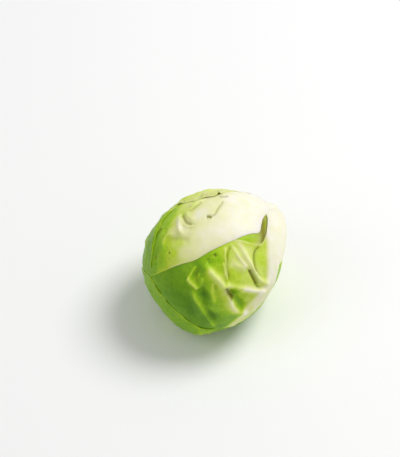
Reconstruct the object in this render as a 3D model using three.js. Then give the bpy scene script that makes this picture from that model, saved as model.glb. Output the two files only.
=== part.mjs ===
// A Brussels sprout: a short cut stem, a packed heart and the leaves wrapped round it, laid on its side.
// Millimetres, +Z up. The stem points to +Y and rises; the sprout rests on a small flat spot at z = 0.
import * as THREE from 'three';

// Driving sizes
const headWidth = 36;        // across the head, square to the stem
const headLength = 41.6;     // from the tip of the head to the foot of the leaves
const stemRise = 19;         // degrees that the stem points above the level
const leafThickness = 0.6;
const leafGap = 0.4;         // clear space between one leaf and the next
const heartGap = 0.6;        // clear space round the heart
const restDepth = 1.1;       // how much of the round underside the flat spot takes away
const restBlend = 5;         // height above the flat spot where the layers follow it
const stemWidth = 12.8;      // across the cut end
const stemLength = 11;       // from the cut end to where it meets the heart
const stemStandout = 0.6;    // cut end past the foot of the leaves
const stemGap = 0.5;         // stem to heart
const leafSettle = 26;       // degrees past a leaf's edge where the leaf below has come up again
const leafCell = 8.5;        // degrees between the points of a leaf's surface
const heartCell = 12;
const footGap = 0.7;         // stem to the foot of every leaf

// Degrees from the stem end where every leaf starts: just outside the stem.
const leafFoot = THREE.MathUtils.radToDeg(Math.asin((stemWidth / 2 + footGap) / (headLength / 2)));

// Where the head is fuller or flatter than a plain egg: degrees from the stem end, degrees around, height, width.
const headSwells = [
  { along: 20, around: 325, height: -1.6, width: 17 },
  { along: 45, around: 111, height: -1.5, width: 16 },
  { along: 88, around: 117, height: -1.3, width: 17 },
  { along: 152, around: 135, height: 1.4, width: 15 },
  { along: 122, around: 293, height: 0.95, width: 25 },
];

// Leaves from the inside out. around: the leaf's middle, in degrees about the stem from straight up.
// rows: [[along, across], [along, across]] for the left and right edge, in degrees from the stem end.
const leaves = [
  { name: 'inner_leaf', around: 45, rows: plainLeaf(148, 62), colour: 0xb7cf6a },
  { name: 'right_leaf', around: 142, rows: plainLeaf(164, 58), colour: 0x9cc242 },
  { name: 'back_leaf', around: 235, rows: plainLeaf(160, 58), colour: 0x93bb3c },
  { name: 'left_leaf', around: 300, rows: plainLeaf(165, 57), colour: 0x8fb63a },
  { name: 'front_leaf', around: 85, colour: 0x86b52e, rows: [
    [[leafFoot, -26], [leafFoot, 4]], [[40, -27], [42, 24]], [[55, -28], [62, 40]], [[61, -36], [78, 48]],
    [[67, -54], [94, 52]], [[82, -67], [110, 53]], [[102, -73], [126, 51]], [[126, -72], [142, 48]],
    [[150, -68], [158, 41]], [[174, -60], [174, 31]], [[194, -46], [190, 16]], [[205, -30], [203, -8]],
  ] },
  { name: 'cap_leaf', around: 345, colour: 0xe4e8bd, rows: [
    [[leafFoot, -22], [leafFoot, 20]], [[31, -33], [29, 33]], [[46, -43], [42, 45]], [[65, -50], [60, 43]],
    [[85, -53], [80, 41]], [[105, -52], [100, 35]], [[122, -48], [115, 29]], [[138, -42], [127, 18]],
    [[150, -33], [138, 3]], [[157, -22], [149, -10]],
  ] },
  { name: 'top_leaf', around: 275, colour: 0xa7c653, rows: [
    [[leafFoot, -16], [leafFoot, 16]], [[36, -32], [30, 47]], [[50, -42], [46, 51]], [[64, -46], [60, 51]],
    [[78, -47], [71, 46]], [[92, -46], [80, 39]], [[104, -44], [92, 40]], [[116, -40], [106, 39]],
    [[128, -34], [120, 40]], [[140, -25], [134, 39]], [[150, -13], [148, 34]], [[158, 2], [159, 25]],
  ] },
  { name: 'under_leaf', around: 185, colour: 0x7fae32, rows: [
    [[leafFoot, -16], [leafFoot, 16]], [[45, -40], [45, 42]], [[75, -52], [75, 54]], [[110, -55], [110, 56]],
    [[138, -54], [140, 54]], [[160, -50], [165, 49]], [[172, -42], [185, 42]], [[183, -30], [198, 33]],
    [[194, -17], [207, 20]], [[201, -4], [205, 8]],
  ] },
];

const rad = THREE.MathUtils.degToRad;
const toStem = new THREE.Vector3(0, Math.cos(rad(stemRise)), Math.sin(rad(stemRise)));
const acrossUp = new THREE.Vector3(0, -Math.sin(rad(stemRise)), Math.cos(rad(stemRise)));
const acrossSide = new THREE.Vector3(1, 0, 0);
const centreHeight = Math.hypot(headWidth / 2 * Math.cos(rad(stemRise)),
  headLength / 2 * Math.sin(rad(stemRise))) - restDepth;

// The edge rows of a leaf that is the same on both sides.
function plainLeaf(reach, spread) {
  return [[leafFoot, 16], [38, 0.7 * spread], [62, 0.95 * spread], [88, spread], [112, 0.94 * spread],
    [134, 0.72 * spread], [reach, 0.24 * spread]].map(([along, half]) => [[along, -half], [along, half]]);
}

// Direction from the middle of the head for a place on a leaf: along from the stem end, across from its middle.
function direction(around, along, across) {
  const [a, u, v] = [around, along, across].map(rad);
  const out = acrossUp.clone().multiplyScalar(Math.cos(a)).addScaledVector(acrossSide, Math.sin(a));
  const side = acrossUp.clone().multiplyScalar(-Math.sin(a)).addScaledVector(acrossSide, Math.cos(a));
  return toStem.clone().multiplyScalar(Math.cos(v) * Math.cos(u))
    .addScaledVector(out, Math.cos(v) * Math.sin(u)).addScaledVector(side, Math.sin(v));
}

// The reverse: along and across, in degrees, of a direction on a leaf.
function placeOnLeaf(around, dir) {
  const a = rad(around);
  const [up, side, stem] = [acrossUp, acrossSide, toStem].map((axis) => dir.dot(axis));
  const out = up * Math.cos(a) + side * Math.sin(a);
  const across = -up * Math.sin(a) + side * Math.cos(a);
  let along = THREE.MathUtils.radToDeg(Math.atan2(out, stem));
  if (along < -70) along += 360;
  return [along, THREE.MathUtils.radToDeg(Math.asin(THREE.MathUtils.clamp(across, -1, 1)))];
}

// One edge of a leaf as a smooth curve through its rows.
function edgeCurve(rows, side) {
  return new THREE.CatmullRomCurve3(rows.map((row) => new THREE.Vector3(row[side][0], row[side][1], 0)));
}

// A leaf's outline as a closed ring of [along, across].
function outline(leaf) {
  const left = edgeCurve(leaf.rows, 0).getPoints(30);
  const right = edgeCurve(leaf.rows, 1).getPoints(30).reverse();
  return [...left, ...right].map((p) => [p.x, p.y]);
}

// Degrees from a direction to a leaf's outline, 0 when it is on the leaf.
function degreesOff(leaf, dir) {
  const [x, y] = placeOnLeaf(leaf.around, dir);
  const narrow = Math.cos(rad(Math.min(Math.abs(y), 75)));
  let inside = false;
  let nearest = Infinity;
  leaf.ring.forEach(([ax, ay], i) => {
    const [bx, by] = leaf.ring[(i + 1) % leaf.ring.length];
    if ((ay > y) !== (by > y) && x < (bx - ax) * (y - ay) / (by - ay) + ax) inside = !inside;
    const [dx, dy, px, py] = [(bx - ax) * narrow, by - ay, (x - ax) * narrow, y - ay];
    const t = THREE.MathUtils.clamp((px * dx + py * dy) / (dx * dx + dy * dy + 1e-9), 0, 1);
    nearest = Math.min(nearest, Math.hypot(px - t * dx, py - t * dy));
  });
  return inside ? 0 : nearest;
}

// Radius of the whole head in a direction: an egg with its swells.
function headRadius(dir) {
  const along = dir.dot(toStem);
  const across = Math.sqrt(Math.max(0, 1 - along * along));
  let radius = 1 / Math.hypot(across / (headWidth / 2), along / (headLength / 2));
  for (const swell of headSwells) {
    const off = THREE.MathUtils.radToDeg(dir.angleTo(direction(swell.around, swell.along, 0)));
    radius += swell.height * Math.exp(-0.5 * (off / swell.width) ** 2);
  }
  return radius;
}

// How far the leaves outside layer number `layer` press that layer in from the head's own radius.
function pressedIn(layer, dir) {
  let sum = 0;
  for (const leaf of leaves.slice(layer + 1)) {
    sum += 1 - THREE.MathUtils.smoothstep(degreesOff(leaf, dir), 0, leafSettle);
  }
  return sum * (leafThickness + leafGap);
}

// The place at a radius in a direction, in the sprout's own frame. The layers follow the flat spot.
function place(dir, radius, followsSpot = true) {
  const point = dir.clone().multiplyScalar(radius);
  point.z += centreHeight;
  if (!followsSpot) {
    point.z = Math.max(point.z, 0);
  } else if (point.z < restBlend) {
    const low = -restDepth;
    point.z = leafThickness + (point.z - low) * (restBlend - leafThickness) / (restBlend - low);
  }
  return point;
}

// A closed sheet between two grids of points; its outside is on the first grid.
function sheet(outer, inner) {
  const rows = outer.length;
  const cols = outer[0].length;
  const points = [...outer.flat(), ...inner.flat()];
  const index = (layer, i, j) => layer * rows * cols + i * cols + j;
  const faces = [];
  for (let i = 0; i + 1 < rows; i++) {
    for (let j = 0; j + 1 < cols; j++) {
      const [a, b, c, d] = [[i, j], [i + 1, j], [i + 1, j + 1], [i, j + 1]];
      faces.push([a, b, c].map((q) => index(0, ...q)), [a, c, d].map((q) => index(0, ...q)));
      faces.push([a, c, b].map((q) => index(1, ...q)), [a, d, c].map((q) => index(1, ...q)));
    }
  }
  const rim = [];
  for (let j = 0; j < cols - 1; j++) rim.push([0, j]);
  for (let i = 0; i < rows - 1; i++) rim.push([i, cols - 1]);
  for (let j = cols - 1; j > 0; j--) rim.push([rows - 1, j]);
  for (let i = rows - 1; i > 0; i--) rim.push([i, 0]);
  rim.forEach((q, k) => {
    const next = rim[(k + 1) % rim.length];
    const [a, b, c, d] = [index(0, ...q), index(0, ...next), index(1, ...next), index(1, ...q)];
    faces.push([a, b, c], [a, c, d]);
  });
  return solid(points, faces);
}

function solid(points, faces) {
  const geometry = new THREE.BufferGeometry();
  geometry.setAttribute('position', new THREE.Float32BufferAttribute(points.flatMap((p) => p.toArray()), 3));
  geometry.setIndex(faces.flat());
  geometry.computeVertexNormals();
  return geometry;
}

// A thin leaf over what lies under it. The lowest leaf alone is cut by the flat spot.
function leafGeometry(leaf, layer) {
  const [left, right] = [edgeCurve(leaf.rows, 0), edgeCurve(leaf.rows, 1)];
  const middle = (curve) => curve.getPoint(0.5).y;
  const rowCount = Math.round((leaf.rows.at(-1)[0][0] - leaf.rows[0][0][0]) / leafCell) + 1;
  const colCount = Math.round((middle(right) - middle(left)) / leafCell) + 1;
  const lowest = layer === leaves.length - 1;
  const outer = [];
  const inner = [];
  for (let i = 0; i < rowCount; i++) {
    const [l, r] = [left, right].map((curve) => curve.getPoint(i / (rowCount - 1)));
    const dirs = Array.from({ length: colCount }, (_, j) => {
      const p = l.clone().lerp(r, j / (colCount - 1));
      return direction(leaf.around, p.x, p.y);
    });
    const radii = dirs.map((dir) => headRadius(dir) - pressedIn(layer, dir));
    outer.push(dirs.map((dir, j) => place(dir, radii[j], !lowest)));
    inner.push(dirs.map((dir, j) => place(dir, radii[j] - leafThickness)));
  }
  return sheet(outer, inner);
}

// Where the stem's cut end is, along the stem from the middle of the head.
function stemEnd() {
  return headRadius(direction(0, leafFoot, 0)) * Math.cos(rad(leafFoot)) + stemStandout;
}

// The packed heart: closed all round, pressed in by every leaf, with a pit that the stem sits in.
function heartGeometry() {
  const turns = Math.round(360 / heartCell);
  const steps = Math.round((180 - leafFoot) / heartCell);
  const pit = stemEnd() - stemLength - stemGap;
  const at = (along, around, inPit) => {
    const dir = direction(around, along, 0);
    return place(dir, inPit ? pit : headRadius(dir) - pressedIn(-1, dir) - heartGap + leafGap);
  };
  const points = [at(0, 0, true)];
  for (let i = -1; i < steps; i++) {
    const along = leafFoot + Math.max(i, 0) * (180 - leafFoot) / steps;
    for (let j = 0; j < turns; j++) points.push(at(along, j * 360 / turns, i < 0));
  }
  points.push(at(180, 0, false));
  const ring = (i, j) => 1 + i * turns + (j % turns);
  const faces = [];
  for (let j = 0; j < turns; j++) {
    faces.push([0, ring(0, j), ring(0, j + 1)]);
    for (let i = 0; i < steps; i++) {
      faces.push([ring(i, j), ring(i + 1, j), ring(i + 1, j + 1)], [ring(i, j), ring(i + 1, j + 1), ring(i, j + 1)]);
    }
    faces.push([ring(steps, j), points.length - 1, ring(steps, j + 1)]);
  }
  return solid(points, faces);
}

// The stem: wider to its cut end, with the cut's edge slightly rounded.
function stemGeometry() {
  const end = stemEnd();
  const inner = end - stemLength;
  const widthAt = (s) => stemWidth / 2 * s / end;
  const profile = [[0, inner], [widthAt(inner), inner], [widthAt(end - 0.6), end - 0.6],
    [stemWidth / 2 - 0.5, end], [0, end]];
  const geometry = new THREE.LatheGeometry(profile.map(([x, y]) => new THREE.Vector2(x, y)), 28);
  geometry.rotateX(rad(stemRise));
  return geometry.translate(0, 0, centreHeight);
}

function addPiece(name, geometry, colour, roughness) {
  const mesh = new THREE.Mesh(geometry, new THREE.MeshStandardMaterial({ color: colour, roughness, metalness: 0 }));
  mesh.name = name;
  group.add(mesh);
}

for (const leaf of leaves) leaf.ring = outline(leaf);
const group = new THREE.Group();
addPiece('stem', stemGeometry(), 0xe6e6c8, 0.6);
addPiece('heart', heartGeometry(), 0xcfdc8e, 0.5);
leaves.forEach((leaf, layer) => addPiece(leaf.name, leafGeometry(leaf, layer), leaf.colour, 0.45));

// The origin is under the middle of the sprout, on the surface it rests on.
const middle = new THREE.Box3().setFromObject(group).getCenter(new THREE.Vector3());
for (const mesh of group.children) mesh.geometry.translate(-middle.x, -middle.y, 0);

export default group;
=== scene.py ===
import math

import bmesh
import bpy
import numpy as np
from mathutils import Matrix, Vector, noise


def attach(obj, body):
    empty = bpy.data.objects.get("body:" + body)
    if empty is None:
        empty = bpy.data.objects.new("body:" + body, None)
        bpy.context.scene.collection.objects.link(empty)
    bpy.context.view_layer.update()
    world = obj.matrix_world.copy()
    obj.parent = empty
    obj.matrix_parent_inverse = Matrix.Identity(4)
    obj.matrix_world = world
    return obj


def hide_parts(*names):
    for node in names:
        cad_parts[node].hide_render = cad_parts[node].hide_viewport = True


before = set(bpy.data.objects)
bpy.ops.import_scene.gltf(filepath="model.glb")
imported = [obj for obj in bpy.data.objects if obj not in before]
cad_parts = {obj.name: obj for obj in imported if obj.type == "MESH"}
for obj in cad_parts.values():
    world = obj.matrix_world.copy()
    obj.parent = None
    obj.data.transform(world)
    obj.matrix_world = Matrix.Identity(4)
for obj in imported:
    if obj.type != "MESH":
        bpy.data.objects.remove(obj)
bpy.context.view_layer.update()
mm = 0.001

head = dict(
    centre=(0.333, 0.226, 17.217),  # middle of the head, mm
    width=36.0, length=41.6,     # across and along the stem, mm
    stemRise=19.0,               # degrees that the stem points above level
    foot=17.4,                   # degrees from the stem end where the leaves start
    swells=[  # degrees from the stem end, degrees around, height mm, width degrees
        (20, 325, -1.6, 17), (45, 111, -1.5, 16), (88, 117, -1.3, 17), (152, 135, 1.4, 15),
        (122, 293, 0.95, 25), (8, 55, 1.2, 13), (98, 114, 0.8, 12), (170, 250, -0.6, 13),
        (62, 305, -0.5, 9), (142, 128, -0.5, 10),
    ],
)
foot = head["foot"]
patternRadius = 18.0  # mm, turns degrees on a leaf into lengths for strokes and noise

rise = math.radians(head["stemRise"])
toStem = np.array([0.0, math.cos(rise), math.sin(rise)])
acrossUp = np.array([0.0, -math.sin(rise), math.cos(rise)])
acrossSide = np.array([1.0, 0.0, 0.0])
centre = np.array(head["centre"])


def direction(around, along, across):  # unit vectors for places on a leaf, in degrees
    a, u, v = np.radians(around), np.radians(np.asarray(along, float)), np.radians(np.asarray(across, float))
    out = acrossUp * np.cos(a) + acrossSide * np.sin(a)
    side = -acrossUp * np.sin(a) + acrossSide * np.cos(a)
    return ((np.cos(v) * np.cos(u))[..., None] * toStem + (np.cos(v) * np.sin(u))[..., None] * out
            + np.sin(v)[..., None] * side)


def placeOnLeaf(around, dirs):  # the reverse of direction
    a = np.radians(around)
    up, side, stem = dirs @ acrossUp, dirs @ acrossSide, dirs @ toStem
    out = up * np.cos(a) + side * np.sin(a)
    across = -up * np.sin(a) + side * np.cos(a)
    along = np.degrees(np.arctan2(out, stem))
    along = np.where(along < -70, along + 360, along)
    return along, np.degrees(np.arcsin(np.clip(across, -1, 1)))


def headRadius(dirs):
    along = dirs @ toStem
    across = np.sqrt(np.clip(1 - along ** 2, 0, None))
    radius = 1 / np.hypot(across / (head["width"] / 2), along / (head["length"] / 2))
    for degrees, around, height, width in head["swells"]:
        off = np.degrees(np.arccos(np.clip(dirs @ direction(around, degrees, 0), -1, 1)))
        radius = radius + height * np.exp(-0.5 * (off / width) ** 2)
    return radius


def smooth(points, count):  # Catmull-Rom through a few points, evenly spaced in their order
    p = np.asarray(points, float)
    if len(p) == 2:
        return p[0] + (p[1] - p[0]) * np.linspace(0, 1, count)[:, None]
    p = np.vstack([2 * p[0] - p[1], p, 2 * p[-1] - p[-2]])
    t = np.linspace(0, len(p) - 3 - 1e-9, count)
    i, f = t.astype(int), (t % 1)[:, None]
    a, b, c, d = p[i], p[i + 1], p[i + 2], p[i + 3]
    bend, twist = 2 * a - 5 * b + 4 * c - d, 3 * b - a - 3 * c + d
    return 0.5 * (2 * b + (c - a) * f + bend * f ** 2 + twist * f ** 3)


def ramp(x, low, high):
    t = np.clip((x - low) / (high - low), 0, 1)
    return t * t * (3 - 2 * t)


def roughField(points, scale, seed, octaves=3):  # smooth noise in mm space, -1 to 1
    shift = Vector((seed * 17.3, seed * 5.1, seed * 9.7))
    flat = [noise.fractal(Vector(p) / scale + shift, 0.9, 2.0, octaves) for p in points.reshape(-1, 3)]
    return np.array(flat).reshape(points.shape[:-1])


# Ridges, folds, creases and painted lines are strokes: points in degrees on the leaf, then mm.
def strokeField(around, points, left, right, taper, dirs):
    line = smooth(points, 8 * len(points))
    path = direction(around, line[:, 0], line[:, 1]) * patternRadius
    flat = dirs.reshape(-1, 3) * patternRadius
    span = np.linalg.norm(np.diff(path, axis=0), axis=1)
    total = span.sum()
    reach = 4 * max(left, right)  # past this the profile is next to nothing
    near = np.zeros(len(flat), bool)
    for point in path[::4]:
        near |= ((flat - point) ** 2).sum(1) < (reach + 4) ** 2
    some = flat[near]
    nearest, where, side = np.full(len(some), 1e9), np.zeros(len(some)), np.zeros(len(some))
    gone = 0.0
    for i, length in enumerate(span):
        here, step = path[i], path[i + 1] - path[i]
        share = np.clip(((some - here) @ step) / (step @ step + 1e-12), 0, 1)
        gap = some - (here + share[:, None] * step)
        distance = np.sqrt((gap ** 2).sum(1))
        closer = distance < nearest
        nearest = np.where(closer, distance, nearest)
        where = np.where(closer, (gone + share * length) / total, where)
        side = np.where(closer, gap @ np.cross(here / patternRadius, step), side)
        gone += length
    width = np.where(side > 0, left, right)
    start, end = taper
    fade = ramp(where, -1e-6, start + 1e-6) if start > 0 else 1.0
    fade = fade * (1 - ramp(where, 1 - end - 1e-6, 1 + 1e-6)) if end > 0 else fade
    result = np.zeros(len(flat))
    result[near] = (1 + (nearest / width) ** 2) ** -1.5 * fade
    return result.reshape(dirs.shape[:-1])


def offOutline(leaf, dirs):  # degrees outside the leaf's outline, negative inside
    x, y = placeOnLeaf(leaf["around"], dirs)
    ring = leaf["ring"]
    narrow = np.cos(np.radians(np.minimum(np.abs(y), 75)))
    inside = np.zeros(x.shape, bool)
    nearest = np.full(x.shape, 1e9)
    for (ax, ay), (bx, by) in zip(ring, np.roll(ring, -1, axis=0)):
        if ay != by:
            crosses = ((ay > y) != (by > y)) & (x < (bx - ax) * (y - ay) / (by - ay) + ax)
            inside ^= crosses
        dx, dy, px, py = (bx - ax) * narrow, by - ay, (x - ax) * narrow, y - ay
        t = np.clip((px * dx + py * dy) / (dx * dx + dy * dy + 1e-9), 0, 1)
        nearest = np.minimum(nearest, np.hypot(px - t * dx, py - t * dy))
    return np.where(inside, -nearest, nearest)


# Leaves from the inside out, each with its own edge, ribs, folds and colour.
# rows: left and right edge as (along, across).
# ridges: points, height, width to the left, width to the right, taper. A hollow has a height below zero.
# tints: (along, across, tint) from 0, deep green, to 1, cream. paint: points, tint added, width.
# dark: points, strength, width, for painted shade: an olive laid into deep creases, gaps and holes where shade
# falls.
def plainRows(reach, spread, lean=0):
    shape = [(foot, 16, 0), (38, 0.7 * spread, 0.2), (62, 0.95 * spread, 0.5), (88, spread, 0.8),
             (112, 0.94 * spread, 1), (134, 0.72 * spread, 1), (reach, 0.24 * spread, 1)]
    return [((u, lean * k - h), (u, lean * k + h)) for u, h, k in shape]


innerLeaf = dict(name="innerLeaf", node="inner_leaf", around=45, rows=plainRows(148, 62), grid=(110, 90),
                 slot="inner_leaf", blister=0.12, seed=1,
                 tints=[(20, 0, 1), (30, 10, .9), (32, -30, .9), (45, -5, .5), (60, 0, .42),
                        (90, 0, .5), (140, 0, .4)],
                 # painted shade: olive along the notch between the outer leaves, where the inner leaf lies in
                 # their shadow
                 shadeStrokes=[([(38, -11), (45, -8), (54, -3), (64, 5)], 1.0, 1.8)])
rightLeaf = dict(name="rightLeaf", node="right_leaf", around=142, rows=plainRows(164, 58), grid=(150, 110),
                 slot="green_leaf", blister=0.3, seed=3)
backLeaf = dict(name="backLeaf", node="back_leaf", around=235, rows=plainRows(160, 58), grid=(150, 110),
                slot="green_leaf", blister=0.3, seed=5)
leftLeaf = dict(name="leftLeaf", node="left_leaf", around=300, rows=plainRows(165, 57), grid=(150, 110),
                slot="green_leaf", blister=0.2, seed=7)
frontLeaf = dict(
    name="frontLeaf", node="front_leaf", around=85, slot="green_leaf", grid=(230, 150), blister=0.1, seed=11,
    rows=[((foot, -26), (foot, 4)), ((40, -30), (42, 24)), ((55, -31), (62, 40)), ((61, -36), (78, 48)),
          ((67, -54), (94, 52)), ((82, -67), (110, 53)), ((102, -73), (126, 51)), ((126, -72), (142, 48)),
          ((150, -68), (158, 41)), ((174, -60), (174, 31)), ((194, -46), (190, 16)), ((205, -30), (203, -8))],
    patches=[  # outline, tint, soft edge in degrees, height
        ([(14, -34), (41, -33), (55, -27), (61, -24), (68, -20), (76, -14), (82, -10), (92, -6), (99, -4),
          (106, -2), (114, 1), (122, 8), (132, 15), (145, 22), (150, 27), (142, 28), (132, 25), (120, 20),
          (108, 17), (98, 15), (88, 14), (80, 12), (74, 8), (68, 2), (62, -2), (57, 1), (50, 5), (40, 9),
          (14, 10)], .9, 2.6, 0.4),
        ([(14, -34), (41, -33), (55, -27), (61, -24), (68, -20), (76, -12), (80, -4), (78, 6), (68, -1),
          (62, -4), (57, 0), (50, 4), (40, 8), (14, 9)], .97, 3.0, 0.1),
        ([(104, 0), (111, 3), (122, 11), (132, 18), (145, 24), (142, 28), (132, 25), (120, 20), (108, 17)],
         .74, 3.0, 0.0),
    ],
    ridges=[
        ([(70, -53), (75, -46), (80, -39), (83, -31), (85, -22), (86, -15), (83, -7)],
         0.85, 0.8, 1.1, (.3, .0)),
        ([(77, -56), (82, -51), (86, -44), (87, -38), (87, -32)], 0.35, 0.5, 0.5, (.3, .1)),
        ([(98, -47), (95, -43), (92, -38), (88, -33)], 0.4, 1.1, 1.0, (.4, .2)),
        ([(85, -60), (97, -54), (103, -47), (108, -41), (113, -35)], 0.35, 0.35, 0.35, (.2, .1)),
        ([(115, -34), (110, -29), (104, -23), (99, -17), (95, -11), (89, -3)], 0.95, 0.8, 0.9, (.05, .0)),
        ([(132, -57), (127, -53), (123, -48), (119, -41), (117, -35), (116, -30), (116.5, -23), (117.5, -16),
          (117.5, -8), (115, -1), (110, 4), (104, 3), (99, 0)], 1.15, 0.6, 2.0, (.15, .25)),
        ([(125, -40), (128, -35), (130, -29), (130, -21), (129, -10)], 0.5, 0.5, 0.8, (.3, .4)),
        ([(153, -46), (150, -43), (146, -40), (142, -36)], 0.85, 0.5, 0.4, (.1, .1)),
        ([(147, -38), (146, -30), (143, -22), (141, -14), (139, -4), (138, 6), (137, 14)],
         0.75, 0.6, 0.7, (.1, .2)),
        ([(153, -45), (150, -48), (146, -52), (141, -56)], 0.5, 0.35, 0.4, (.1, .2)),
        ([(146, -42), (142, -46), (138, -50)], 0.4, 0.35, 0.35, (.3, .3)),
        ([(142, -36), (139, -40), (134, -46)], 0.4, 0.35, 0.35, (.3, .3)),
        ([(104, -51), (108, -45), (111, -39)], 0.3, 0.25, 0.3, (.3, .3)),
        # creases and hollows
        ([(61, -33), (68, -35), (75, -33), (81, -28), (83.5, -22), (84, -15)], -0.6, 0.3, 0.4, (.1, .15)),
        ([(87, -32), (89, -23), (91, -13), (90, -9)], -0.9, 0.45, 0.5, (.1, .1)),
        ([(80, -56), (92, -54), (100, -49), (105, -44), (109, -37), (112, -34)], -0.45, 0.28, 0.3, (.1, .1)),
        ([(115, -29), (113, -20), (110, -9), (109, 0)], -1.1, 1.0, 1.3, (.1, .2)),
        ([(115.5, -32), (116, -25), (115, -18)], -1.0, 0.35, 0.4, (.1, .3)),
        ([(125, -44), (125, -28), (125, -14), (125, 0)], -0.3, 0.8, 0.8, (.2, .3)),
        ([(136, -44), (138, -33), (139, -20), (137, -9), (134, 2)], -0.75, 1.0, 1.2, (.2, .3)),
        ([(141, -50), (143, -45), (144, -41)], -0.4, 0.35, 0.4, (.2, .3)),
        ([(152, -38), (152, -26), (150, -12), (147, 0)], -0.5, 0.9, 1.2, (.2, .3)),
        ([(110, -58), (108, -61)], -0.5, 0.35, 0.35, (.2, .2)),
        ([(122, -60), (124, -54)], -0.4, 0.5, 0.5, (.2, .2)),
        ([(60, -46), (62, -42)], -0.3, 0.8, 0.8, (.2, .2)),
        # broad swellings between the folds
        ([(105, -36), (97, -26)], 0.3, 2.2, 2.2, (0, 0)),
        ([(166, -34), (164, -20)], 0.35, 3.5, 3.5, (0, 0)),
    ],
    tints=[(60, -30, .6), (70, -26, .6), (78, -20, .62), (62, -3, .45), (66, 6, .42), (60, -43, .5),
           (56, -38, .66),
           (66, -45, .6), (72, -42, .7), (78, -45, .66), (83, -40, .72), (92, -46, .64), (80, -53, .62),
           (100, -34, .56), (106, -36, .54), (97, -20, .6), (87, -58, .58), (95, -57, .52), (108, -56, .44),
           (120, -58, .4), (113, -40, .5), (113, -24, .22), (111, -8, .28), (106, -14, .5), (106, -6, .62),
           (124, -28, .46), (125, -14, .44), (121, -46, .46), (130, -36, .38), (131, -15, .38), (130, 2, .32),
           # (138, -30) and (138, -8) lie in the hollow between the long folds: its deep green, made deeper
           # still as painted shade
           (125, 8, .34), (138, -30, .1), (138, -8, .1), (136, 8, .25), (143, -28, .34), (152, -20, .14),
           (160, -26, .18), (158, -8, .2), (150, 2, .22), (172, -30, .22), (165, -46, .26), (180, -36, .26),
           (190, -20, .3), (150, -54, .34), (141, -53, .22), (176, -8, .3), (204, -28, .34), (40, 22, .75),
           (80, 25, .55), (120, 35, .4), (86, -30, .66), (150, 35, .34)],
    paint=[
        ([(66, -56), (75, -46), (80, -39), (83, -31), (85, -22), (86, -15), (82, -5)], .17, 0.8),
        ([(77, -56), (82, -51), (86, -44), (87, -38), (87, -32)], .16, 0.4),
        ([(98, -47), (95, -43), (92, -38), (88, -33)], .14, 1.2),
        ([(115, -34), (110, -29), (104, -23), (99, -17), (95, -11), (89, -3)], .26, 0.9),
        ([(104, -22), (99, -17), (95, -11), (89, -3)], .16, 1.2),
        ([(130, -55), (123, -48), (119, -41), (117, -35), (116, -30), (116.5, -23), (117.5, -16), (117.5, -8),
          (115, -1), (110, 4), (104, 3)], .2, 0.8),
        ([(116, -32), (116.5, -23), (117.5, -16), (117.5, -8), (115, -1)], .22, 0.7),
        ([(129, -52), (122, -42), (120, -32), (120, -22), (121, -12), (118, 0)], .14, 1.6),
        ([(153, -46), (150, -43), (146, -40), (142, -36)], .4, 0.5),
        ([(147, -38), (146, -30), (143, -22), (141, -14), (139, -4), (138, 6)], .24, 0.55),
        ([(153, -45), (150, -48), (146, -52), (141, -56)], .28, 0.4),
        ([(125, -40), (128, -35), (130, -29), (130, -21)], .2, 0.5),
        ([(146, -42), (142, -46), (138, -50)], .14, 0.5),
        ([(142, -36), (139, -40), (134, -46)], .1, 0.45),
        ([(85, -60), (97, -54), (103, -47), (108, -41), (113, -35)], .16, 0.35),
        ([(104, -51), (108, -45), (111, -39)], .16, 0.3),
    ],
    # painted shade in the folds' creases and hollows
    shadeStrokes=[
        ([(61, -33), (68, -35), (75, -33), (81, -28), (83.5, -22)], .55, 0.35),
        ([(87, -31), (89, -23), (91, -13)], .8, 0.5),
        ([(80, -56), (92, -54), (100, -49), (105, -44), (109, -37)], .5, 0.3),
        ([(115.5, -32), (116, -25), (115, -17)], 1.0, 0.5),
        ([(110, -58), (108, -61)], .6, 0.4),
        ([(141, -55), (140, -50)], .4, 0.5),
        ([(141, -50), (143, -45), (144, -41)], .4, 0.4),
        ([(124, -38), (125, -32)], .35, 0.4),
    ],
)
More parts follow.
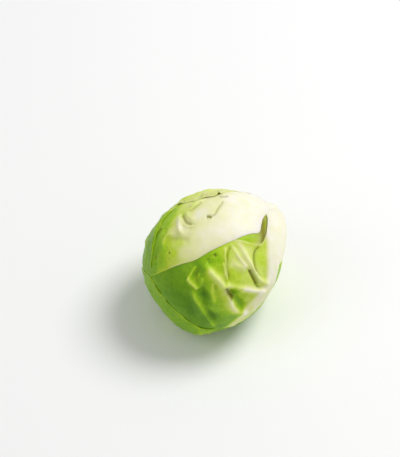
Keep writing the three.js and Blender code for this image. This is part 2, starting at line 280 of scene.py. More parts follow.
capLeaf = dict(
    name="capLeaf", node="cap_leaf", around=345, slot="pale_leaf", grid=(200, 130), blister=0.06, seed=13,
    rows=[((foot, -22), (foot, 22)), ((31, -33), (31, 31)), ((46, -43), (36, 37)), ((58, -48), (42, 44)),
          ((68, -50), (54, 43)), ((85, -53), (75, 41)), ((105, -52), (98, 35)), ((122, -48), (114, 28)),
          ((138, -42), (126, 16)), ((150, -33), (137, 4)), ((157, -22), (148, -9))],
    ridges=[
        ([(89, -14), (97, -6), (102, 0), (103, 8)], 0.6, 0.5, 0.9, (.2, .3)),
        ([(84, -12), (87, -6), (88, 0), (86, 6)], 0.3, 0.6, 0.6, (.2, .3)),
        ([(89, -13), (92, -5), (93, -1), (92, 4), (89, 10)], -0.5, 0.35, 0.5, (.1, .3)),
        ([(94, -9), (97, -3), (97, 3), (94, 9), (91, 12)], -0.25, 0.5, 0.5, (.2, .3)),
        ([(84, -10), (80, -8), (74, -8), (66, -8), (60, -6)], -0.5, 0.3, 0.4, (.2, .3)),
        ([(80, -14), (76, -11), (70, -11), (65, -9)], 0.45, 0.5, 0.4, (.2, .2)),
        ([(79, 10), (77, 12), (76, 14)], -0.3, 0.35, 0.35, (.1, .1)),
        ([(76, 13), (72, 13), (68, 11), (63, 9), (59, 7), (57, 5)], -0.2, 0.25, 0.3, (.1, .1)),
        ([(74, 16), (68, 14), (62, 11)], 0.2, 0.5, 0.5, (.3, .3)),
        ([(113, -7), (109, 3), (103, 15)], -0.35, 0.9, 1.2, (.2, .3)),
        ([(125, -2), (123, -4), (118, -8), (114, -10), (110, -8), (106, -2)], 0.35, 0.45, 0.45, (.2, .3)),
        ([(126, 4), (119, 6)], 0.2, 0.8, 0.8, (.2, .2)),
        ([(106, -16), (112, -16)], -0.25, 0.7, 0.7, (.2, .2)),
        ([(115, -23), (109, -23)], -0.5, 0.3, 0.3, (.1, .1)),
        ([(122, -24), (128, -20), (136, -15), (144, -12)], 0.35, 0.45, 0.6, (.2, .2)),
        ([(127, -12), (133, -9), (138, -6)], -0.4, 0.7, 0.6, (.2, .2)),
        ([(121.6, 1.6), (122.2, 2.4)], -0.55, 0.25, 0.25, (0, 0)),
        ([(47, 9), (42, 13), (38, 17)], -0.12, 0.5, 0.5, (.3, .3)),
        ([(20, 2), (45, 4), (70, 8), (95, 12), (118, 12), (140, -4)], 0.3, 3.0, 3.0, (0, .3)),
    ],
    tints=[(22, 0, 1), (30, 25, 1), (40, 38, 1), (48, 10, .98), (60, 30, .98), (75, 30, .96), (80, 5, .94),
           (90, 20, .93), (102, 22, .9), (100, 3, .88), (105, -4, .82), (110, 18, .86), (116, 14, .82),
           (112, -15, .46), (104, -20, .42), (96, -22, .44), (90, -28, .45), (115, -5, .56), (113, 4, .65),
           (122, 6, .55), (127, 10, .62), (122, -6, .42), (130, -4, .4), (130, -20, .26), (140, -8, .32),
           (146, -14, .3), (115, -32, .26), (85, -18, .66), (78, -14, .74), (64, -6, .88), (136, 3, .48),
           (98, -12, .66), (96, -7, .86), (60, -30, .7), (125, -14, .32), (118, -24, .3), (95, -40, .4),
           (140, -30, .28)],
    paint=[
        ([(88, -13), (93, -13), (97, -9), (99, -4), (101, 2)], .12, 0.7),
        ([(104, -12), (112, -10), (121, -9)], .14, 0.4),
        ([(120, -25), (128, -22), (136, -19), (146, -12)], .12, 0.5),
    ],
    # painted shade in the cap's creases, its tear and the tear's hole
    shadeStrokes=[
        ([(89, -12), (92, -5), (93, -1), (92, 5)], .6, 0.35),
        ([(84, -10), (80, -8), (74, -8), (68, -8)], .5, 0.3),
        ([(79, 10), (77, 12), (76, 14)], 1.0, 0.5),
        ([(76, 13), (72, 13), (68, 11), (63, 9), (59, 7), (57, 5)], .5, 0.3),
        ([(56, -1), (52, 2), (49, 2)], .6, 0.4),
        ([(115, -23), (109, -23)], .8, 0.3),
        ([(121.6, 1.6), (122.2, 2.4)], 1.0, 0.3),
        ([(113, -7), (109, 3)], .18, 0.9),
        ([(94, -9), (97, -3), (97, 3), (94, 9)], .12, 0.6),
        ([(131, -11), (133, -9)], .5, 0.5),
    ],
)
topLeaf = dict(
    name="topLeaf", node="top_leaf", around=275, slot="green_leaf", grid=(120, 110), blister=0.2,
    seed=17,
    rows=[((foot, -16), (foot, 16)), ((36, -32), (30, 47)), ((50, -42), (46, 51)), ((64, -46), (60, 51)),
          ((78, -47), (71, 46)), ((92, -46), (80, 39)), ((104, -44), (92, 40)), ((116, -40), (106, 39)),
          ((128, -34), (120, 40)), ((140, -25), (134, 39)), ((150, -13), (148, 34)), ((158, 2), (159, 25))],
    ridges=[
        ([(28, 46), (36, 47), (46, 48), (56, 47)], 1.2, 0.7, 0.9, (.1, .3)),
        ([(34, 40), (46, 42), (58, 41), (70, 38)], -0.6, 0.6, 0.6, (.2, .2)),
        ([(50, 45), (60, 44), (72, 40), (82, 36)], 0.5, 0.5, 0.6, (.3, .2)),
        ([(36, 34), (50, 35), (66, 33), (80, 30)], 0.6, 0.7, 0.8, (.2, .2)),
        ([(56, 39), (66, 38), (78, 33)], -0.45, 0.4, 0.5, (.2, .2)),
        ([(84, 39), (98, 37), (112, 36), (126, 38), (140, 36)], 0.3, 0.45, 0.5, (.1, .1)),
        ([(18, 0), (50, 1), (85, -2), (125, -4)], 0.75, 1.3, 1.3, (0, .3)),
        ([(44, 2), (56, 14), (72, 24)], 0.4, 0.6, 0.6, (.1, .4)),
        ([(74, 0), (88, 12), (102, 22)], 0.4, 0.6, 0.6, (.1, .4)),
        ([(40, -2), (54, -14), (66, -28), (74, -40)], 0.4, 0.6, 0.6, (.1, .4)),
        ([(66, -2), (80, -14), (92, -28), (100, -38)], 0.4, 0.6, 0.6, (.1, .4)),
        ([(94, -3), (108, -16), (118, -28)], 0.4, 0.6, 0.6, (.1, .4)),
        ([(104, 2), (118, 14), (132, 24)], 0.4, 0.6, 0.6, (.1, .4)),
    ],
    tints=[(20, 0, .95), (35, 0, .75), (60, 0, .5), (60, 45, .74), (46, 45, .78), (75, 40, .68), (86, 37, .5),
           (98, 36, .36),
           (125, 36, .3), (150, 28, .3), (100, 0, .36), (60, -30, .42), (95, -30, .34), (130, 0, .3)],
    paint=[
        ([(18, 0), (50, 1), (85, -2), (125, -4)], .35, 1.2),
        ([(44, 2), (56, 14), (72, 24)], .22, 0.5), ([(74, 0), (88, 12), (102, 22)], .22, 0.5),
        ([(40, -2), (54, -14), (66, -28), (74, -40)], .22, 0.5),
        ([(66, -2), (80, -14), (92, -28), (100, -38)], .22, 0.5),
        ([(94, -3), (108, -16), (118, -28)], .22, 0.5),
        ([(104, 2), (118, 14), (132, 24)], .22, 0.5), ([(84, 39), (98, 37), (112, 36), (126, 38)], .16, 0.4),
    ],
    # painted shade along the gaps under the top leaf's crumpled rim and beneath its ridge
    shadeStrokes=[([(24, 44), (30, 49)], .7, 0.7), ([(84, 35), (98, 33), (112, 32)], .3, 0.4)],
)
underLeaf = dict(
    name="underLeaf", node="under_leaf", around=185, slot="green_leaf", grid=(180, 130), blister=0.22,
    seed=19,
    rows=[((foot, -16), (foot, 16)), ((45, -40), (45, 42)), ((75, -52), (75, 54)), ((110, -55), (110, 56)),
          ((138, -54), (140, 54)), ((160, -50), (165, 49)), ((172, -42), (185, 42)), ((183, -30), (198, 33)),
          ((194, -17), (207, 20)), ((201, -4), (205, 8))],
)
leaves = [innerLeaf, rightLeaf, backLeaf, leftLeaf, frontLeaf, capLeaf, topLeaf, underLeaf]
for leaf in leaves:
    left = smooth([row[0] for row in leaf["rows"]], 40)
    right = smooth([row[1] for row in leaf["rows"]], 40)
    leaf["ring"] = np.vstack([left, right[::-1]])

wrap = dict(
    pitch=0.6,       # mm from one leaf's face to the next one's under it
    taper=9.0,       # degrees inside a rim where a leaf starts to thin out
    thickness=0.42,  # mm, in the middle of a leaf
    edge=0.14,       # mm, at its rim
    standout=0.15,   # mm that a rim's face stands above the leaf under it
    hidden=(-1.0, 4.0),  # degrees about an outer leaf's rim over which the relief under it fades
    hiddenRelief=0.92,   # share of the relief that is pressed flat where it is hidden
    dentFade=3.0,    # degrees past a rim over which an outer leaf's hollow fades from the leaf under it
    sideWave=0.8,    # degrees that the side rims wander
    tipWave=1.5,     # degrees that the tip wanders
    paleRim=0.1,     # tint added along a rim
    paleWidth=2.2,   # degrees
    floorFollow=0.9,  # share of the depth by which inner layers lift off the floor
)


def strokesUnder(leaf, strokes, dirs):  # mm, all of a leaf's ridges or hollows together
    return sum((height * strokeField(leaf["around"], points, leftWidth, rightWidth, taper, dirs)
                for points, height, leftWidth, rightWidth, taper in strokes), 0.0)


def pressedIn(layer, dirs):  # mm that the leaves outside this one press it in, and how far it is covered
    depth = np.zeros(dirs.shape[:-1])
    cover = np.zeros(dirs.shape[:-1])
    dent = np.zeros(dirs.shape[:-1])
    for leaf in leaves[layer + 1:]:
        off = offOutline(leaf, dirs)
        depth += wrap["pitch"] * (1 - ramp(off, -wrap["taper"], 0))
        cover = np.maximum(cover, 1 - ramp(off, *wrap["hidden"]))
        hollows = strokesUnder(leaf, [stroke for stroke in leaf.get("ridges", []) if stroke[1] < 0], dirs)
        dent = np.minimum(dent, hollows * (1 - ramp(off, 0, wrap["dentFade"])))
    return depth - dent, cover


# Ribs of leaves that are seen only from behind: height and width, then tint added and its width.
farRibs = dict(midrib=(0.75, 1.3), midribTint=(.35, 1.2), rib=(0.42, 0.6), ribTint=(.22, 0.55),
               fork=(0.25, 0.4), forkTint=(.12, 0.4),
               first=26, spacing=15, jitter=3)  # degrees


def ownRibs(leaf):  # a midrib and curved side ribs
    rng = np.random.default_rng(leaf["seed"])
    reach = max(row[0][0] for row in leaf["rows"])
    midrib = [(18, 0), (50, 1), (85, 0), (reach - 22, 1)]
    ridges, paint = [], []

    def addRib(line, size, tint, taper):
        height, width = size
        ridges.append((line, height, width, width, taper))
        paint.append((line, *tint))

    addRib(midrib, farRibs["midrib"], farRibs["midribTint"], (0, .3))
    for side in (-1, 1):
        for start in np.arange(farRibs["first"], reach - 45, farRibs["spacing"]):
            at = start + rng.uniform(-farRibs["jitter"], farRibs["jitter"])
            bend = rng.uniform(0.8, 1.2)
            line = [(at, side * 1), (at + 9 * bend, side * 13), (at + 20 * bend, side * 27),
                    (at + 30 * bend, side * 42)]
            addRib(line, farRibs["rib"], farRibs["ribTint"], (.02, .5))
            fork = [line[2], (line[2][0] + 14, side * 29), (line[2][0] + 26, side * 33)]
            addRib(fork, farRibs["fork"], farRibs["forkTint"], (.05, .6))
    tints = [(20, 0, .95), (35, 0, .75), (60, 30, .5), (60, -30, .5), (60, 0, .55), (95, 0, .42),
             (95, 35, .36), (95, -35, .36), (130, 0, .34), (130, 30, .28), (130, -30, .28), (160, 0, .3)]
    return ridges, paint, tints


def tintOf(tints, along, across):  # smooth mix of the nearest tints
    total = np.zeros(along.shape)
    weight = np.zeros(along.shape)
    for alongTint, acrossTint, tint in tints:
        gap = ((along - alongTint) * np.cos(np.radians(acrossTint))) ** 2 + (across - acrossTint) ** 2
        share = 1 / (gap + 6.0) ** 1.7
        total += share * tint
        weight += share
    return total / weight


def pickOnly(*pieces):
    bpy.ops.object.select_all(action="DESELECT")
    for piece in pieces:
        piece.select_set(True)
        bpy.context.view_layer.objects.active = piece


def vertexPlaces(mesh):
    flat = np.empty(len(mesh.vertices) * 3)
    mesh.vertices.foreach_get("co", flat)
    return flat.reshape(-1, 3)


def setAttribute(mesh, name, values):
    mesh.attributes.new(name, "FLOAT", "POINT").data.foreach_set("value", np.asarray(values, np.float32))


floorSpot = dict(below=4.0, softness=0.35)  # mm: how high the flat spot's effect reaches, and its rounding


def onFloor(points, lift):  # the flat spot: nothing under the floor, layers follow it
    low = np.clip(lift, 0, None)
    soft = floorSpot["softness"]
    settled = low + np.log1p(np.exp((points[..., 2] - low) / soft)) * soft
    points[..., 2] = np.where(points[..., 2] < floorSpot["below"], settled, points[..., 2])
    return points


def layOut(leaf, endwise, sidewise):  # degrees along and across for shares of a leaf's length and width
    fine = 400  # steps along the side rims
    left = smooth([row[0] for row in leaf["rows"]], fine)
    right = smooth([row[1] for row in leaf["rows"]], fine)
    seed = leaf["seed"]

    def between(column):
        at = endwise * (fine - 1)
        return (np.interp(at, np.arange(fine), left[:, column]) * (1 - sidewise)
                + np.interp(at, np.arange(fine), right[:, column]) * sidewise)

    def sideWave(side):
        waves = [noise.noise(Vector((x * 9, side * 7.7, seed * 3.1))) for x in endwise]
        return wrap["sideWave"] * np.array(waves)

    nearSide = np.exp(-np.minimum(sidewise, 1 - sidewise) / 0.06)
    wander = np.where(sidewise < 0.5, sideWave(1), sideWave(2))
    across = between(1) + nearSide * wander * ramp(endwise, 0.05, 0.2)
    tipWave = np.array([noise.noise(Vector((x * 7, 3.3, seed * 1.7))) for x in sidewise])
    along = between(0) + np.exp(-(1 - endwise) / 0.05) * tipWave * wrap["tipWave"]
    return along, across


def leafRelief(leaf, ridges, dirs, along, cover):  # mm of folds, ribs and blisters, and its patches' tints
    relief = np.zeros(len(along)) + strokesUnder(leaf, ridges, dirs)
    patchTints = []
    for ring, patchTint, soft, height in leaf.get("patches", []):
        patch = dict(around=leaf["around"], ring=smooth(ring + ring[:1], 120))
        share = 1 - ramp(offOutline(patch, dirs), -soft, soft)
        relief += height * share
        patchTints.append((patchTint, share))
    crinkle = roughField(dirs * patternRadius, 4.5, leaf["seed"], 3)
    puff = 1 - np.abs(roughField(dirs * patternRadius, 3.2, leaf["seed"] + 2, 2)) * 1.6
    relief += leaf["blister"] * (0.7 * crinkle + 0.8 * (puff - 0.5)) * ramp(along, 22, 55)
    return relief * (1 - wrap["hiddenRelief"] * cover), patchTints


def paintLeaf(leaf, mesh, paint, tints, patchTints, dirs, place, inside):  # its tint attribute, and an attribute for painted shade in its creases and gaps
    tint = tintOf(tints, *place)
    for patchTint, share in patchTints:
        tint += (patchTint - tint) * share
    for points, amount, width in paint:
        tint += amount * strokeField(leaf["around"], points, width, width, (.1, .15), dirs)
    # painted shade: how strongly olive is laid into creases, gaps and holes where shade falls
    paintedShade = np.zeros(len(tint))
    for points, amount, width in leaf.get("shadeStrokes", []):
        stroke = strokeField(leaf["around"], points, width, width, (.1, .1), dirs)
        paintedShade = np.maximum(paintedShade, amount * stroke)
    tint += wrap["paleRim"] * (1 - ramp(inside, 0, wrap["paleWidth"])) * ramp(0.8 - tint, 0, 0.2)
    setAttribute(mesh, "tint", np.clip(tint, 0, 1))
    setAttribute(mesh, "creaseShade", paintedShade)


def thicken(piece, inside):  # gives the face its back, thinner at the rim
    pickOnly(piece)
    thin = piece.vertex_groups.new(name="thickness")
    depth = wrap["edge"] + (wrap["thickness"] - wrap["edge"]) * ramp(inside, 0, wrap["taper"])
    weights = np.clip(depth, 0, None) / wrap["thickness"]
    groups = 20  # of like weight, so that this stays quick
    for group in range(groups):
        chosen = np.where((weights > group / groups) & (weights <= (group + 1) / groups))[0]
        if len(chosen):
            thin.add(chosen.tolist(), (group + 1) / groups, "REPLACE")
    solidify = piece.modifiers.new("leafThickness", "SOLIDIFY")
    solidify.thickness = wrap["thickness"] * mm
    solidify.offset = -1
    solidify.vertex_group = "thickness"
    solidify.use_rim = True
    bpy.ops.object.modifier_apply(modifier="leafThickness")
    bpy.ops.object.shade_smooth()
    piece.vertex_groups.clear()


def makeLeaf(layer, leaf):
    rows, columns = leaf["grid"]
    pickOnly()
    bpy.ops.mesh.primitive_grid_add(x_subdivisions=rows, y_subdivisions=columns, size=2)
    piece = bpy.context.object
    piece.name = piece.data.name = leaf["name"]
    flat = vertexPlaces(piece.data)
    along, across = layOut(leaf, (flat[:, 0] + 1) / 2, (flat[:, 1] + 1) / 2)
    dirs = direction(leaf["around"], along, across)
    depth, cover = pressedIn(layer, dirs)
    inside = -offOutline(leaf, dirs)
    ridges, paint, tints = leaf.get("ridges"), leaf.get("paint"), leaf.get("tints")
    if ridges is None:
        ridges, paint, ribTints = ownRibs(leaf)
        tints = tints or ribTints
    relief, patchTints = leafRelief(leaf, ridges, dirs, along, cover)
    rimRise = wrap["standout"] * (1 - ramp(inside, 0, wrap["taper"]))
    radius = headRadius(dirs) - depth + rimRise + relief
    points = onFloor(centre + dirs * radius[:, None], wrap["floorFollow"] * depth)
    piece.data.vertices.foreach_set("co", (points * mm).ravel())
    paintLeaf(leaf, piece.data, paint, tints, patchTints, dirs, (along, across), inside)
    thicken(piece, inside)
    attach(piece, "root")
    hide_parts(leaf["node"])
    print("leaf", leaf["name"], len(piece.data.polygons))
    return piece


# Materials
def linear(hexColour):
    values = [int(hexColour[i:i + 2], 16) / 255 for i in (1, 3, 5)]
    return tuple(c / 12.92 if c <= 0.04045 else ((c + 0.055) / 1.055) ** 2.4 for c in values) + (1.0,)


def addNode(tree, kind, settings=None, links=None):
    node = tree.nodes.new(kind)
    for key, value in (settings or {}).items():
        if isinstance(key, int) or key in node.inputs:
            node.inputs[key].default_value = value
        else:
            setattr(node, key, value)
    for key, source in (links or {}).items():
        tree.links.new(source, node.inputs[key])
    return node


def rampStops(node, stops):
    while len(node.color_ramp.elements) > 1:
        node.color_ramp.elements.remove(node.color_ramp.elements[-1])
    for i, (place, colour) in enumerate(stops):
        stop = node.color_ramp.elements[0] if i == 0 else node.color_ramp.elements.new(place)
        stop.position, stop.color = place, linear(colour)


leafLook = dict(
    stops=[(0.0, "#3F6E02"), (0.15, "#578802"), (0.3, "#75A606"), (0.45, "#9AC614"), (0.58, "#BDD836"),
           (0.7, "#D3E374"), (0.85, "#E6EAA6"), (1.0, "#F5F4DC")],
    # the olive of the painted shade in creases and gaps
    creaseShadeColour="#7E7A08",
    patchSize=3.0, veinSize=2.2,   # mm
    patchShift=0.16, veinShift=0.05,  # tint that the patches and the fine veins add
    bumpHeight=0.12, bumpStrength=0.25,  # mm, share
    roughness=(0.36, 0.52), ior=1.42, specular=0.3,
    flesh=0.35, fleshRadius=(0.7, 1.0, 0.3), fleshDepth=1.2,  # share of light through it, by colour, mm
)


def waxyLeaf():  # fresh leaf: waxy skin over wet flesh that passes light, so satin shine and glowing edges
    look = leafLook
    material = bpy.data.materials.new("waxyGreenLeaf")
    material.use_nodes = True
    tree = material.node_tree
    shader = tree.nodes["Principled BSDF"]
    place = addNode(tree, "ShaderNodeTexCoord").outputs["Object"]
    tint = addNode(tree, "ShaderNodeAttribute", {"attribute_name": "tint"}).outputs["Fac"]
    creaseShade = addNode(tree, "ShaderNodeAttribute", {"attribute_name": "creaseShade"}).outputs["Fac"]
    patches = addNode(tree, "ShaderNodeTexNoise",
                      {"Scale": 1 / (look["patchSize"] * mm), "Detail": 3.0, "Roughness": 0.55},
                      {"Vector": place}).outputs["Fac"]
    shift = addNode(tree, "ShaderNodeMath",
                    {"operation": "MULTIPLY_ADD", 1: look["patchShift"], 2: -look["patchShift"] / 2},
                    {0: patches})
    veins = addNode(tree, "ShaderNodeTexVoronoi",
                    {"feature": "DISTANCE_TO_EDGE", "Scale": 1 / (look["veinSize"] * mm)}, {"Vector": place})
    veinLine = addNode(tree, "ShaderNodeMapRange",
                       {"From Min": 0.0, "From Max": 0.09, "To Min": 1.0, "To Max": 0.0},
                       {"Value": veins.outputs["Distance"]})
    green = addNode(tree, "ShaderNodeMapRange",
                    {"From Min": 0.45, "From Max": 0.85, "To Min": 1.0, "To Max": 0.0}, {"Value": tint})
    veinGreen = addNode(tree, "ShaderNodeMath", {"operation": "MULTIPLY"},
                        {0: veinLine.outputs["Result"], 1: green.outputs["Result"]})
    veinShift = addNode(tree, "ShaderNodeMath", {"operation": "MULTIPLY_ADD", 1: look["veinShift"]},
                        {0: veinGreen.outputs[0], 2: shift.outputs[0]})
    total = addNode(tree, "ShaderNodeMath", {"operation": "ADD", "use_clamp": True},
                    {0: tint, 1: veinShift.outputs[0]})
    colour = addNode(tree, "ShaderNodeValToRGB", None, {"Fac": total.outputs[0]})
    rampStops(colour, look["stops"])
    # painted shade: olive mixed into the colour by the shade attribute, in creases and gaps
    olive = addNode(tree, "ShaderNodeMix", {"data_type": "RGBA", 7: linear(look["creaseShadeColour"])},
                    {0: creaseShade, 6: colour.outputs["Color"]})  # 6 and 7 are its two colours, 2 the mixed one
    tree.links.new(olive.outputs[2], shader.inputs["Base Color"])
    height = addNode(tree, "ShaderNodeMath", {"operation": "MULTIPLY_ADD", 1: 0.5},
                     {0: veinGreen.outputs[0], 2: patches})
    bump = addNode(tree, "ShaderNodeBump",
                   {"Strength": look["bumpStrength"], "Distance": look["bumpHeight"] * mm},
                   {"Height": height.outputs[0]})
    tree.links.new(bump.outputs["Normal"], shader.inputs["Normal"])
    glossiest, dullest = look["roughness"]
    gloss = addNode(tree, "ShaderNodeMapRange", {"To Min": glossiest, "To Max": dullest}, {"Value": patches})
    tree.links.new(gloss.outputs["Result"], shader.inputs["Roughness"])
    shader.inputs["IOR"].default_value = look["ior"]
    shader.inputs["Specular IOR Level"].default_value = look["specular"]
    shader.inputs["Subsurface Weight"].default_value = look["flesh"]
    shader.inputs["Subsurface Radius"].default_value = look["fleshRadius"]
    shader.inputs["Subsurface Scale"].default_value = look["fleshDepth"] * mm
    return material


leafMaterial = waxyLeaf()
pieces = []
for layer, leaf in enumerate(leaves):
    piece = makeLeaf(layer, leaf)
    piece.data.materials.clear()
    piece.data.materials.append(leafMaterial)
    pieces.append(piece)

# Heart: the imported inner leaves, seen in gaps and at the stem end
heartLook = dict(
    gap=0.6,         # mm under the innermost leaf's face
    footPlane=18.9,  # mm from the head's middle to its flat end, which lies just over the stem's cut face
    floorGap=0.5,    # mm
    # the last is painted shade: an even share of the olive over the whole heart, which lies deep under the
    # outer leaves
    tint=0.62, footTint=0.3, creaseShade=0.25,
)
pickOnly()
bpy.ops.mesh.primitive_uv_sphere_add(segments=128, ring_count=96, radius=1)
heart = bpy.context.object
heart.name = heart.data.name = "heart"
ball = vertexPlaces(heart.data)
ball = ball / np.linalg.norm(ball, axis=1)[:, None]
dirs = ball[:, 2:3] * toStem + ball[:, 0:1] * acrossUp + ball[:, 1:2] * acrossSide
depth, cover = pressedIn(-1, dirs)
radius = headRadius(dirs) - depth - heartLook["gap"]
angle = np.degrees(np.arccos(np.clip(dirs @ toStem, -1, 1)))
footPlane = heartLook["footPlane"] / np.cos(np.radians(np.minimum(angle, 60)))
radius = np.where(angle < 40, np.minimum(radius, footPlane), radius)
points = onFloor(centre + dirs * radius[:, None], depth + heartLook["floorGap"])
heart.data.vertices.foreach_set("co", (points * mm).ravel())
tint = heartLook["tint"] + heartLook["footTint"] * ramp(-angle, -40, -15)
setAttribute(heart.data, "tint", np.clip(tint, 0, 1))
setAttribute(heart.data, "creaseShade", np.full(len(dirs), heartLook["creaseShade"]))
pickOnly(heart)
bpy.ops.object.shade_smooth()
bpy.ops.object.mode_set(mode="EDIT")
bpy.ops.mesh.select_all(action="SELECT")
bpy.ops.mesh.normals_make_consistent(inside=False)
bpy.ops.object.mode_set(mode="OBJECT")
heart.data.materials.append(leafMaterial)
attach(heart, "root")
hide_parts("heart")
print("heart made")

# Stem: cut across with a knife, so nearly flat, with a ring of fibres and a dried rim
stemSizes = dict(
    width=12.8, depth=6.0, standout=0.15,  # mm, the last from the leaves' level at the foot angle
    footAngle=20,                          # degrees
    waist=2.5,                             # mm down the side to the first edge loop
    round=0.5, dish=0.25, unevenness=0.15,  # mm
    around=96, faceRings=16,
)
stemLook = dict(
    stops=[(0.0, "#EFEDC8"), (0.5, "#E9E9B4"), (0.66, "#CBD27C"), (0.76, "#E6E8AE"), (0.9, "#DAD59C"),
           (1.0, "#CDC68A")],
    roughness=0.62,
    fibreSize=0.7, blotch=0.16,          # mm, share of the radius that blotches move the colours
    bumpHeight=0.15, bumpStrength=0.35,  # mm, share
    flesh=0.3, fleshRadius=(1.0, 0.9, 0.4), fleshDepth=1.5,  # share of light through it, by colour, mm
)


def stemFlesh():  # cut stalk: moist pith, greener fibre ring, edge dried to straw, so duller than the leaves
    look = stemLook
    material = bpy.data.materials.new("cutStemFlesh")
    material.use_nodes = True
    tree = material.node_tree
    shader = tree.nodes["Principled BSDF"]
    place = addNode(tree, "ShaderNodeTexCoord").outputs["Object"]
    outward = addNode(tree, "ShaderNodeAttribute", {"attribute_name": "outward"}).outputs["Fac"]
    fibres = addNode(tree, "ShaderNodeTexNoise", {"Scale": 1 / (look["fibreSize"] * mm), "Detail": 4.0},
                     {"Vector": place}).outputs["Fac"]
    blotch = addNode(tree, "ShaderNodeMath",
                     {"operation": "MULTIPLY_ADD", 1: look["blotch"], 2: -look["blotch"] / 2}, {0: fibres})
    ring = addNode(tree, "ShaderNodeMath", {"operation": "ADD", "use_clamp": True},
                   {0: outward, 1: blotch.outputs[0]})
    colour = addNode(tree, "ShaderNodeValToRGB", None, {"Fac": ring.outputs[0]})
    rampStops(colour, look["stops"])
    tree.links.new(colour.outputs["Color"], shader.inputs["Base Color"])
    bump = addNode(tree, "ShaderNodeBump",
                   {"Strength": look["bumpStrength"], "Distance": look["bumpHeight"] * mm}, {"Height": fibres})
    tree.links.new(bump.outputs["Normal"], shader.inputs["Normal"])
    shader.inputs["Roughness"].default_value = look["roughness"]
    shader.inputs["Subsurface Weight"].default_value = look["flesh"]
    shader.inputs["Subsurface Radius"].default_value = look["fleshRadius"]
    shader.inputs["Subsurface Scale"].default_value = look["fleshDepth"] * mm
    return material


footAngle = stemSizes["footAngle"]
leafLevel = float(headRadius(direction(0, [footAngle], [0]))[0]) * math.cos(math.radians(footAngle))
end = leafLevel + stemSizes["standout"]  # mm from the head's middle to the cut face
width, rounding = stemSizes["width"] / 2, stemSizes["round"]
# the stem's half section, radius and height: back, side, rounded rim, dished face
profile = [(width * k, -stemSizes["depth"]) for k in (0.25, 0.5, 0.75, 1.0)]
profile += [(width, -stemSizes["waist"])]
profile += [(width - rounding * (1 - math.cos(turned)), -rounding * (1 - math.sin(turned)))
            for turned in np.linspace(0, math.pi / 2, 5)]
profile += [(width * k, -stemSizes["dish"] * (1 - k ** 2))
            for k in np.linspace(0.86, 0.04, stemSizes["faceRings"])]
form = bmesh.new()
outwardLayer = form.verts.layers.float.new("outward")


def stemPoint(radius, height, turned):
    aside = Vector((radius * math.cos(turned), radius * math.sin(turned), 5))
    uneven = stemSizes["unevenness"] * noise.noise(aside * 0.7) if height > -1 else 0
    at = centre + toStem * (end + height + uneven)
    at = at + (acrossUp * math.cos(turned) + acrossSide * math.sin(turned)) * radius
    vert = form.verts.new(Vector(at * mm))
    vert[outwardLayer] = min(radius / width, 1)
    return vert


around = [2 * math.pi * k / stemSizes["around"] for k in range(stemSizes["around"])]
rings = [[stemPoint(radius, height, turned) for turned in around] for radius, height in profile]
for lower, upper in zip(rings, rings[1:]):
    for k in range(len(around)):
        form.faces.new((lower[k - 1], lower[k], upper[k], upper[k - 1]))
for ring, height in ((rings[0], -stemSizes["depth"]), (rings[-1], -stemSizes["dish"])):
    middle = stemPoint(0, height, 0)
    for k in range(len(around)):
        form.faces.new((ring[k - 1], ring[k], middle))
bmesh.ops.recalc_face_normals(form, faces=form.faces)
stemMesh = bpy.data.meshes.new("stem")
form.to_mesh(stemMesh)
form.free()
stem = bpy.data.objects.new("stem", stemMesh)
bpy.context.scene.collection.objects.link(stem)
pickOnly(stem)
bpy.ops.object.shade_smooth_by_angle(angle=math.radians(40))
stem.data.materials.append(stemFlesh())
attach(stem, "root")
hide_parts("stem")
print("stem made")

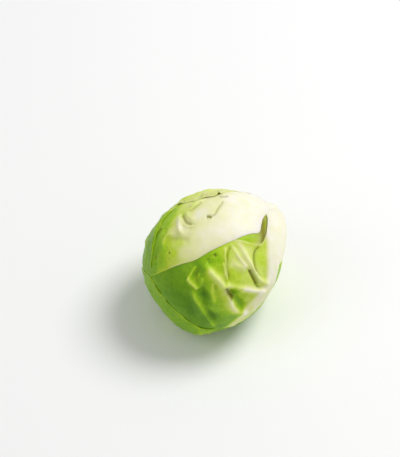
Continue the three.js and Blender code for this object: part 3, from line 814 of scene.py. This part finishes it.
# Floor, lights and camera
stage = dict(
    floorSize=3.0, floorColour=(0.9, 0.9, 0.9, 1), floorRoughness=0.9,  # m
    azimuth=45.4, elevation=50.0, distance=0.75, frameWidth=0.108,  # degrees, m
    aimRight=-4.59, aimUp=7.97,  # mm from the head's middle
    sensorWidth=36,
    # way to each light (right, up, back to the camera), then distance m, size m, watts
    keyLight=((0.55, 0.8, 0.55), 0.7, 0.35, 3.4),
    fillLight=((-0.8, 0.2, 0.8), 0.8, 0.6, 0.8),
    surroundings=0.45,
)
pickOnly()
bpy.ops.mesh.primitive_plane_add(size=stage["floorSize"])
floor = bpy.context.object
floor.name = "floor"
floorMaterial = bpy.data.materials.new("paleMattBoard")  # matt board: an even pale ground with soft shadows
floorMaterial.use_nodes = True
floorShader = floorMaterial.node_tree.nodes["Principled BSDF"]
floorShader.inputs["Base Color"].default_value = stage["floorColour"]
floorShader.inputs["Roughness"].default_value = stage["floorRoughness"]
floor.data.materials.append(floorMaterial)

azimuth, elevation = math.radians(stage["azimuth"]), math.radians(stage["elevation"])
back = Vector((math.sin(azimuth) * math.cos(elevation), -math.cos(azimuth) * math.cos(elevation),
               math.sin(elevation)))
turn = back.to_track_quat("Z", "Y")
rightWay, upWay = turn @ Vector((1, 0, 0)), turn @ Vector((0, 1, 0))
aim = Vector(centre * mm) + rightWay * stage["aimRight"] * mm + upWay * stage["aimUp"] * mm
cameraData = bpy.data.cameras.new("camera")
camera = bpy.data.objects.new("camera", cameraData)
bpy.context.scene.collection.objects.link(camera)
camera.location = aim + back * stage["distance"]
camera.rotation_mode = "QUATERNION"
camera.rotation_quaternion = turn
cameraData.sensor_fit = "HORIZONTAL"
cameraData.sensor_width = stage["sensorWidth"]
cameraData.lens = stage["sensorWidth"] * stage["distance"] / stage["frameWidth"]
cameraData.clip_start = 0.01
bpy.context.scene.camera = camera


def softLight(name):
    towards, distance, size, power = stage[name]
    data = bpy.data.lights.new(name, "AREA")
    data.shape, data.size, data.energy = "DISK", size, power
    light = bpy.data.objects.new(name, data)
    bpy.context.scene.collection.objects.link(light)
    way = (rightWay * towards[0] + upWay * towards[1] + back * towards[2]).normalized()
    light.location = Vector(centre * mm) + way * distance
    light.rotation_mode = "QUATERNION"
    light.rotation_quaternion = way.to_track_quat("Z", "Y")


softLight("keyLight")
softLight("fillLight")
world = bpy.data.worlds.new("studio")
bpy.context.scene.world = world
world.use_nodes = True
world.node_tree.nodes["Background"].inputs["Color"].default_value = (1, 1, 1, 1)
world.node_tree.nodes["Background"].inputs["Strength"].default_value = stage["surroundings"]
bpy.context.scene.view_settings.view_transform = "Standard"
bpy.context.scene.view_settings.look = "None"
print("stage set")
